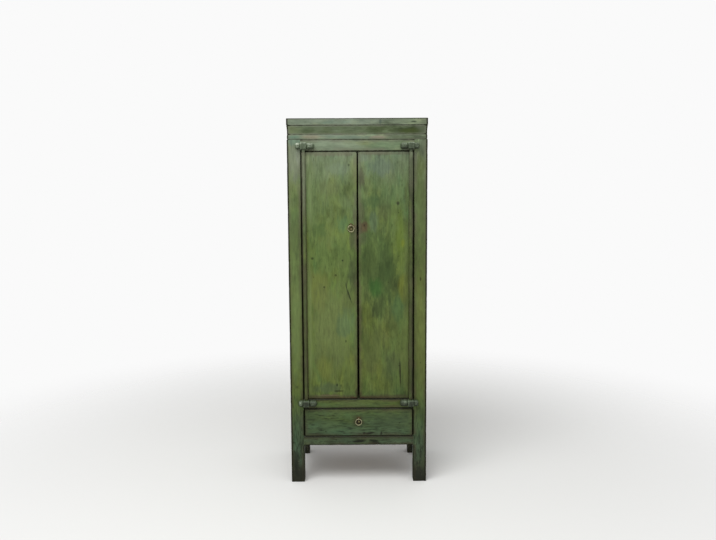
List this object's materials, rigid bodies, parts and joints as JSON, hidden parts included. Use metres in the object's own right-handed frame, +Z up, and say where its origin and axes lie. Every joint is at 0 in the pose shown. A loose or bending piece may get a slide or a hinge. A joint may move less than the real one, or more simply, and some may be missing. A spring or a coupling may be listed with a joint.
{
  "type": "narrow two-door cabinet with drawer",
  "caption": "Tall narrow East Asian cabinet on post legs: pivot-hung plank doors between carved blocks, shelved inside, over a ring-pull drawer, under a coved cornice.",
  "frame": {"origin": "middle of the bounding box, on the floor plane under the feet", "axes": "+Z up from the floor, +X to the right seen from the front, +Y to the back (the doors face -Y)"},
  "size_m": [0.582, 0.414, 1.546],
  "materials": {
    "green_lacquer": "old green lacquer, satin, rubbed brown at the edges",
    "block_paint": "dark blue-green paint on carved wood",
    "bare_wood": "old bare softwood, planed",
    "brass": "dull worn brass",
    "iron": "dark rusted iron"
  },
  "bodies": {
    "carcass": {"front_left_post": "green_lacquer", "front_right_post": "green_lacquer", "rear_left_post": "green_lacquer", "rear_right_post": "green_lacquer", "front_top_rail": "green_lacquer", "front_middle_rail": "green_lacquer", "front_bottom_rail": "green_lacquer", "rear_top_rail": "bare_wood", "rear_middle_rail": "bare_wood", "rear_bottom_rail": "bare_wood", "left_top_rail": "green_lacquer", "left_middle_rail": "green_lacquer", "left_bottom_rail": "green_lacquer", "right_top_rail": "green_lacquer", "right_middle_rail": "green_lacquer", "right_bottom_rail": "green_lacquer", "left_upper_panel": "green_lacquer", "left_lower_panel": "green_lacquer", "right_upper_panel": "green_lacquer", "right_lower_panel": "green_lacquer", "back_upper_panel": "bare_wood", "back_lower_panel": "bare_wood", "cabinet_floor": "bare_wood", "lower_shelf": "bare_wood", "upper_shelf": "bare_wood", "shelf_bearers": "bare_wood", "drawer_runners": "bare_wood", "drawer_kickers": "bare_wood", "cornice_front": "green_lacquer", "cornice_left": "green_lacquer", "cornice_right": "green_lacquer", "cornice_back": "bare_wood", "top_frame_front": "green_lacquer", "top_frame_back": "green_lacquer", "top_frame_left": "green_lacquer", "top_frame_right": "green_lacquer", "top_panel": "bare_wood", "upper_left_pivot_block": "block_paint", "upper_right_pivot_block": "block_paint", "lower_left_pivot_block": "block_paint", "lower_right_pivot_block": "block_paint", "pivot_block_nails": "iron"},
    "left_door": {"left_door_board": "green_lacquer", "left_door_stile": "green_lacquer", "left_door_battens": "bare_wood", "left_door_pull_eye": "brass", "left_door_pull_rosette": "brass"},
    "right_door": {"right_door_board": "green_lacquer", "right_door_stile": "green_lacquer", "right_door_battens": "bare_wood", "right_door_pull_eye": "iron"},
    "drawer": {"drawer_front": "green_lacquer", "drawer_left_side": "bare_wood", "drawer_right_side": "bare_wood", "drawer_back": "bare_wood", "drawer_bottom": "bare_wood", "drawer_pull_eye": "brass", "drawer_pull_rosette": "brass"},
    "left_door_ring": {"left_door_pull_ring": "brass"},
    "drawer_ring": {"drawer_pull_ring": "brass"}
  },
  "joints": [
    {"name": "left_door_hinge", "type": "hinge", "parent": "carcass", "child": "left_door", "pos_m": [-0.222, -0.1915, 0.8885], "axis": [0, 0, -1], "range_deg": [0, 170]},
    {"name": "right_door_hinge", "type": "hinge", "parent": "carcass", "child": "right_door", "pos_m": [0.222, -0.1915, 0.8885], "axis": [0, 0, 1], "range_deg": [0, 170]},
    {"name": "drawer_slide", "type": "slide", "parent": "carcass", "child": "drawer", "axis": [0, -1, 0], "range_m": [0, 0.24]},
    {"name": "left_door_ring_swing", "type": "hinge", "parent": "left_door", "child": "left_door_ring", "pos_m": [-0.0275, -0.19, 1.1063], "axis": [-1, 0, 0], "range_deg": [-8, 172]},
    {"name": "drawer_ring_swing", "type": "hinge", "parent": "drawer", "child": "drawer_ring", "pos_m": [0, -0.19, 0.2793], "axis": [-1, 0, 0], "range_deg": [-8, 172]}
  ]
}
